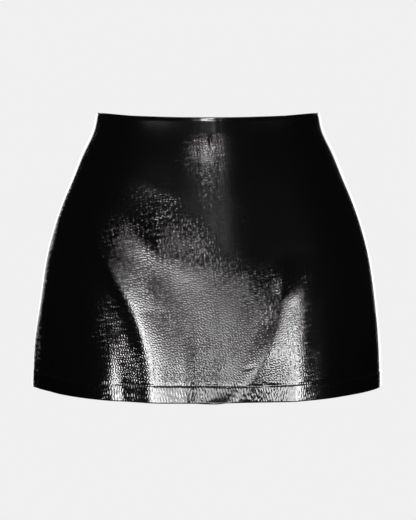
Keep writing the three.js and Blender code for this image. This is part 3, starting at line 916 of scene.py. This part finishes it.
@dataclass
class ConcealedZip:
    """The concealed zip in the centre back seam: two tapes, a coil in two halves, a slider and its pull.

    It lies against the inside of the skirt. Across is mm from the seam, positive to the wearer's left.
    """

    top: float = 4.8
    foot: float = 178.0
    tape_from_seam: float = 1.3
    tape_width: float = 12.0
    tape_depth: float = 2.9
    tape_thickness: float = 0.6
    coil_top: float = 17.5
    coil_depth: float = 4.7
    coil_pitch: float = 1.2
    coil_offset: float = 0.95
    coil_reach: float = 1.0
    coil_rise: float = 0.6
    wire: float = 0.26
    stitch_pitch: float = 3.0
    stitch_length: float = 2.3
    stitch_depth: float = 3.46
    stitch_rows: tuple[float, float] = (4.4, 10.6)
    thread: float = 0.17
    edge: float = 0.00025

    def place(self, form: SkirtForm, across: np.ndarray, drop: np.ndarray, depth: np.ndarray) -> np.ndarray:
        """Points at a distance across from the centre back seam, at a drop and a depth inside the leather."""
        span = form.span(180.0 * np.ones_like(drop), drop)
        angle = 180.0 - np.abs(across) / span
        return form.layer(np.where(across < 0, -angle, angle), drop, depth)

    def tape(self, form: SkirtForm, name: str, node: str, side: float, cloth: bpy.types.Material) -> None:
        """Args:
            form: the skirt's shape.
            name: the piece's name.
            node: the solid that it stands for.
            side: 1 on the wearer's left and -1 on the right.
            cloth: its material.
        """
        share = (1 - np.cos(np.linspace(0, math.pi, 25))) / 2
        across = side * (self.tape_from_seam + self.tape_width * share)
        drop = np.linspace(self.top, self.foot, 150)
        drop, across = np.meshgrid(drop, across if side < 0 else across[::-1], indexing="ij")
        slim = 0.5 * self.tape_thickness * (1 - np.sqrt(np.clip(1 - (2 * share - 1) ** 8, 0, 1)))
        slim = np.tile(slim, (len(drop), 1))
        outer = self.place(form, across, drop, self.tape_depth + slim)
        inner = self.place(form, across, drop, self.tape_depth + self.tape_thickness - slim)
        points, quads, _ = closed_wall(outer, inner)
        made = mesh_object(name, points, quads.tolist(), [cloth])
        cloth_map(made, np.tile(across.ravel(), 2), np.tile(drop.ravel(), 2))
        carry(made, node)
        LOG.info("%s: %d quads", name, len(quads))

    def coil(self, form: SkirtForm, nylon: bpy.types.Material) -> None:
        """Builds the coil: on each side of the seam a helix of wire, half a pitch after the other's.

        Each helix goes round a point beside the seam with a cosine across and a sine in depth, and sinks by
        one pitch a turn.
        """
        turns = int((self.foot - self.coil_top - 2 * self.wire) / self.coil_pitch)
        turn = np.linspace(0, 2 * math.pi * turns, turns * 10 + 1)
        paths = []
        for side in (1.0, -1.0):
            across = side * (self.coil_offset - self.coil_reach * np.cos(turn))
            late = 0.0 if side > 0 else 0.5
            sunk = turn / (2 * math.pi) * (turns - 0.5) / turns + late
            drop = self.coil_top + self.wire + self.coil_pitch * sunk
            depth = self.coil_depth + self.coil_rise * np.sin(turn)
            paths.append(self.place(form, across, drop, depth))
        radius = np.full(len(turn), self.wire)
        points, faces = swept_tube(np.array(paths), radius, np.array([0.0, 0.0, 1.0]), 6)
        made = mesh_object("zip_coil_wire", points, faces, [nylon])
        carry(made, "zip_coil")
        LOG.info("zip_coil_wire: %d faces, %d turns", len(faces), turns)

    def stitches(self, form: SkirtForm, sewing: bpy.types.Material) -> None:
        """Builds the stitches that hold the tapes to the allowances: arcs of thread that dip at both ends."""
        drop_from = np.arange(self.top + 3.0, self.foot - 4.0, self.stitch_pitch)
        share = np.linspace(0, 1, 9)
        drop = drop_from[:, None] + self.stitch_length * share
        depth = np.broadcast_to(self.stitch_depth + 0.2 * np.sin(math.pi * share) ** 0.6 - 0.05, drop.shape)
        rows = [side * across for side in (1.0, -1.0) for across in self.stitch_rows]
        paths = [self.place(form, np.full_like(drop, across), drop, depth) for across in rows]
        radius = self.thread * (0.5 + 0.5 * np.sin(math.pi * share) ** 0.4)
        points, faces = swept_tube(np.concatenate(paths), radius, np.array([1.0, 0.0, 0.0]), 6)
        made = mesh_object("zip_stitches", points, faces, [sewing])
        carry(made)
        LOG.info("zip_stitches: %d faces", len(faces))

    def bevelled(self, name: str, node: str, body: str, metal: bpy.types.Material) -> None:
        """Builds a hard piece from a merged copy of its solid, with its edges eased.

        Args:
            name: the piece's name.
            node: the solid that it stands for.
            body: the body that it rides on.
            metal: its material.
        """
        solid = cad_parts[node]
        mesh = solid.data.copy()
        mesh.name = name
        mesh.transform(solid.matrix_world)
        shape = bmesh.new()
        shape.from_mesh(mesh)
        bmesh.ops.remove_doubles(shape, verts=shape.verts, dist=1e-6)
        bmesh.ops.dissolve_limit(
            shape,
            angle_limit=math.radians(1.0),
            verts=shape.verts,
            edges=shape.edges,
            use_dissolve_boundaries=False,
        )
        shape.to_mesh(mesh)
        shape.free()
        mesh.materials.clear()
        mesh.materials.append(metal)
        mesh.polygons.foreach_set("use_smooth", np.ones(len(mesh.polygons), bool))
        made = bpy.data.objects.new(name, mesh)
        bpy.context.scene.collection.objects.link(made)
        eased = made.modifiers.new("eased_edges", "BEVEL")
        eased.width = self.edge
        eased.segments = 3
        eased.limit_method = "ANGLE"
        eased.angle_limit = math.radians(25)
        eased.harden_normals = True
        carry(made, node, body)
        LOG.info("%s: %d faces before its edges are eased", name, len(mesh.polygons))

    def build(self, form: SkirtForm) -> None:
        """Builds the whole zip."""
        cloth = WovenTape().material("woven_tape")
        self.tape(form, "woven_tape_left", "zip_tape_left", 1.0, cloth)
        self.tape(form, "woven_tape_right", "zip_tape_right", -1.0, cloth)
        self.coil(form, SmoothFinish((0.008, 0.008, 0.009, 1.0), 0.34).material("coil_nylon"))
        self.stitches(form, SmoothFinish((0.01, 0.01, 0.011, 1.0), 0.6).material("sewing_thread"))
        metal = SmoothFinish((0.028, 0.028, 0.03, 1.0), 0.26, metallic=0.75, rub_scale=260.0)
        blackened = metal.material("blackened_metal")
        self.bevelled("zip_slider_metal", "zip_slider", SKIRT_BODY, blackened)
        self.bevelled("zip_pull_metal", "zip_pull", PULL_BODY, blackened)


@dataclass
class SoftLight:
    """A softbox aimed at the skirt. Azimuth 0 is in front, and positive is towards the wearer's left.

    top is how strong its upper edge is beside its lower one, and fade the share of its width and height
    over which it dies away at each edge. cell is the size in degrees of the cells of the honeycomb in front
    of it, or 0 for none, and deep how much darker and lighter they are than the whole.
    """

    name: str
    azimuth: float
    elevation: float
    distance: float
    width: float
    height: float
    radiance: float
    top: float = 1.0
    fade: float = 0.15
    cell: float = 0.0
    deep: float = 0.95

    def build(self, centre: tuple[float, float, float]) -> bpy.types.Object:
        """Builds the light. Its power is radiance times pi times its area.

        Args:
            centre: what it is aimed at, in metres.

        Returns:
            The light, which no camera sees.
        """
        data = bpy.data.lights.new(self.name, "AREA")
        data.shape = "RECTANGLE"
        data.size, data.size_y = self.width, self.height
        data.energy = self.radiance * math.pi * self.width * self.height
        self.shade(data)
        made = bpy.data.objects.new(self.name, data)
        around, up = math.radians(self.azimuth), math.radians(self.elevation)
        aim = np.array([math.sin(around) * math.cos(up), -math.cos(around) * math.cos(up), math.sin(up)])
        made.location = np.array(centre) + self.distance * aim
        made.rotation_euler = (math.pi / 2 - up, 0.0, around)
        made.visible_camera = False
        bpy.context.scene.collection.objects.link(made)
        return made

    def shade(self, data: bpy.types.Light) -> None:
        """Makes the box weaker towards its top, and soft at its four edges."""
        data.use_nodes = True
        tree = NodeTree(data.node_tree)
        place = tree.add("NewGeometry").outputs["Parametric"]
        split = tree.add("SeparateXYZ", {0: place})
        rising = {"Value": split.outputs["Y"], "To Min": 1.0, "To Max": self.top}
        strength = tree.add("MapRange", rising).outputs[0]
        for side in ("X", "Y"):
            value = split.outputs[side]
            strength = tree.math("MULTIPLY", strength, tree.spread(value, 0.0, self.fade, 0.0, 1.0))
            strength = tree.math("MULTIPLY", strength, tree.spread(value, 1.0 - self.fade, 1.0, 1.0, 0.0))
        if self.cell:
            pattern = self.deep
            for side, size in (("X", self.width), ("Y", self.height)):
                cells = size / self.distance / math.radians(self.cell)
                turns = tree.math("MULTIPLY", split.outputs[side], math.pi * cells)
                pattern = tree.math("MULTIPLY", tree.math("SINE", turns), pattern)
            strength = tree.math("MULTIPLY", strength, tree.math("ADD", pattern, 1.0))
        glow = tree.add("Emission", {"Strength": strength})
        tree.add("OutputLight", {"Surface": glow.outputs[0]})


@dataclass
class Studio:
    """The pale floor and background, the softboxes and the camera."""

    centre: tuple[float, float, float] = (0.0, 0.0, -0.165)
    pale: float = 0.871
    floor_drop: float = 1.0
    floor_radius: float = 12.0
    camera_back: float = 2.78
    camera_up: float = 0.065
    aim_down: float = 0.175
    frame_height: float = 0.648
    lights: tuple[SoftLight, ...] = (
        SoftLight("softbox_front_right", -25, 1.0, 2.2, 1.33, 0.74, 21.0, top=0.4, fade=0.1, cell=3),
        SoftLight("core_front_right", -31, 4.0, 2.2, 0.74, 0.76, 16.0, top=0.9, fade=0.3, cell=3),
        SoftLight("glow_upper_right", -38, 11, 2.2, 1.0, 0.38, 12.0, fade=0.3, cell=3),
        SoftLight("softbox_front_left", 40, -1.0, 2.2, 1.56, 0.74, 24.0, top=0.15, fade=0.07, cell=3),
        SoftLight("core_front_left", 54, 1.0, 2.2, 0.54, 0.7, 15.0, top=0.4, fade=0.15, cell=3),
        SoftLight("fill_front", -3, 1.0, 2.2, 1.3, 0.74, 18.0, top=0.1, fade=0.12, cell=3),
        SoftLight("strip_above_camera", 4.8, 23, 2.6, 0.21, 0.6, 2.0, fade=0.3),
        SoftLight("glow_above_camera", 0, 17, 2.6, 1.0, 0.36, 0.5, fade=0.3),
        SoftLight("lamp_above_waist", -0.5, 30, 2.2, 0.62, 0.24, 34.0, fade=0.35),
        SoftLight("overhead", 0, 80, 2.0, 1.6, 1.0, 6.0),
        SoftLight("backdrop_right", -158, 0, 2.4, 1.1, 1.6, 3.0),
        SoftLight("backdrop_left", 158, 0, 2.4, 1.1, 1.6, 3.0),
    )

    def build(self) -> None:
        """Builds the world, the floor, the lights and the camera."""
        scene = bpy.context.scene
        scene.view_settings.view_transform = "Standard"
        self.build_world()
        self.build_floor()
        for light in self.lights:
            light.build(self.centre)
        self.build_camera()

    def build_world(self) -> None:
        """A pale background for the camera, and a dim room for reflections."""
        world = bpy.data.worlds.new("studio")
        world.use_nodes = True
        bpy.context.scene.world = world
        tree = NodeTree(world.node_tree)
        path = tree.add("LightPath")
        seen = tree.add("Background", {"Color": (self.pale,) * 3 + (1.0,), "Strength": 1.0})
        room = tree.add("Background", {"Color": (0.012, 0.012, 0.013, 1.0), "Strength": 1.0})
        by_camera = path.outputs["Is Camera Ray"]
        mixed = tree.add("MixShader", {0: by_camera, 1: room.outputs[0], 2: seen.outputs[0]})
        tree.add("OutputWorld", {"Surface": mixed.outputs[0]})

    def build_floor(self) -> None:
        """A wide pale floor that the camera sees as evenly as the background."""
        turn = np.linspace(0, 2 * math.pi, 64, endpoint=False)
        rim = np.stack([np.cos(turn), np.sin(turn), 0 * turn], -1) * self.floor_radius / MM
        rim[:, 2] = -self.floor_drop / MM
        material, tree = new_material("pale_floor")
        path = tree.add("LightPath")
        seen = tree.add("Emission", {"Color": (self.pale,) * 3 + (1.0,), "Strength": 1.0})
        matt = tree.add("BsdfDiffuse", {"Color": (0.06, 0.06, 0.06, 1.0)})
        by_camera = path.outputs["Is Camera Ray"]
        mixed = tree.add("MixShader", {0: by_camera, 1: matt.outputs[0], 2: seen.outputs[0]})
        tree.add("OutputMaterial", {"Surface": mixed.outputs[0]})
        mesh_object("floor", rim, [list(range(len(turn)))], [material])

    def build_camera(self) -> None:
        """The camera, a little above the waist and far back, looking slightly down."""
        data = bpy.data.cameras.new("camera")
        data.sensor_fit = "VERTICAL"
        fall = self.camera_up + self.aim_down
        reach = math.hypot(self.camera_back, fall)
        data.lens = data.sensor_height * reach / self.frame_height
        data.clip_end = 100.0
        made = bpy.data.objects.new("camera", data)
        made.location = (0.0, -self.camera_back, self.camera_up)
        made.rotation_euler = (math.pi / 2 - math.atan2(fall, self.camera_back), 0.0, 0.0)
        bpy.context.scene.collection.objects.link(made)
        bpy.context.scene.camera = made


def main() -> None:
    """Builds the studio and the skirt."""
    logging.basicConfig(level=logging.INFO, format="%(name)s: %(message)s")
    Studio().build()
    form = SkirtForm()
    grain_side = PatentLeather().material("patent_leather", crinkle_group())
    leather = [grain_side, FleshSide().material("flesh_side")]
    front, left, right = Seam(0.0), Seam(1.0, follows_side=True), Seam(-1.0, follows_side=True)
    panels = (
        LeatherPanel("leather_front_left", "front_left", front, left, 118),
        LeatherPanel("leather_front_right", "front_right", right, front, 118),
        LeatherPanel("leather_back_left", "back_left", left, Seam(180.0, zipped=True), 118),
        LeatherPanel("leather_back_right", "back_right", Seam(-180.0, zipped=True), right, 118),
    )
    for panel in panels:
        panel.build(form, leather)
    ConcealedZip().build(form)


if __name__ == "__main__":
    main()
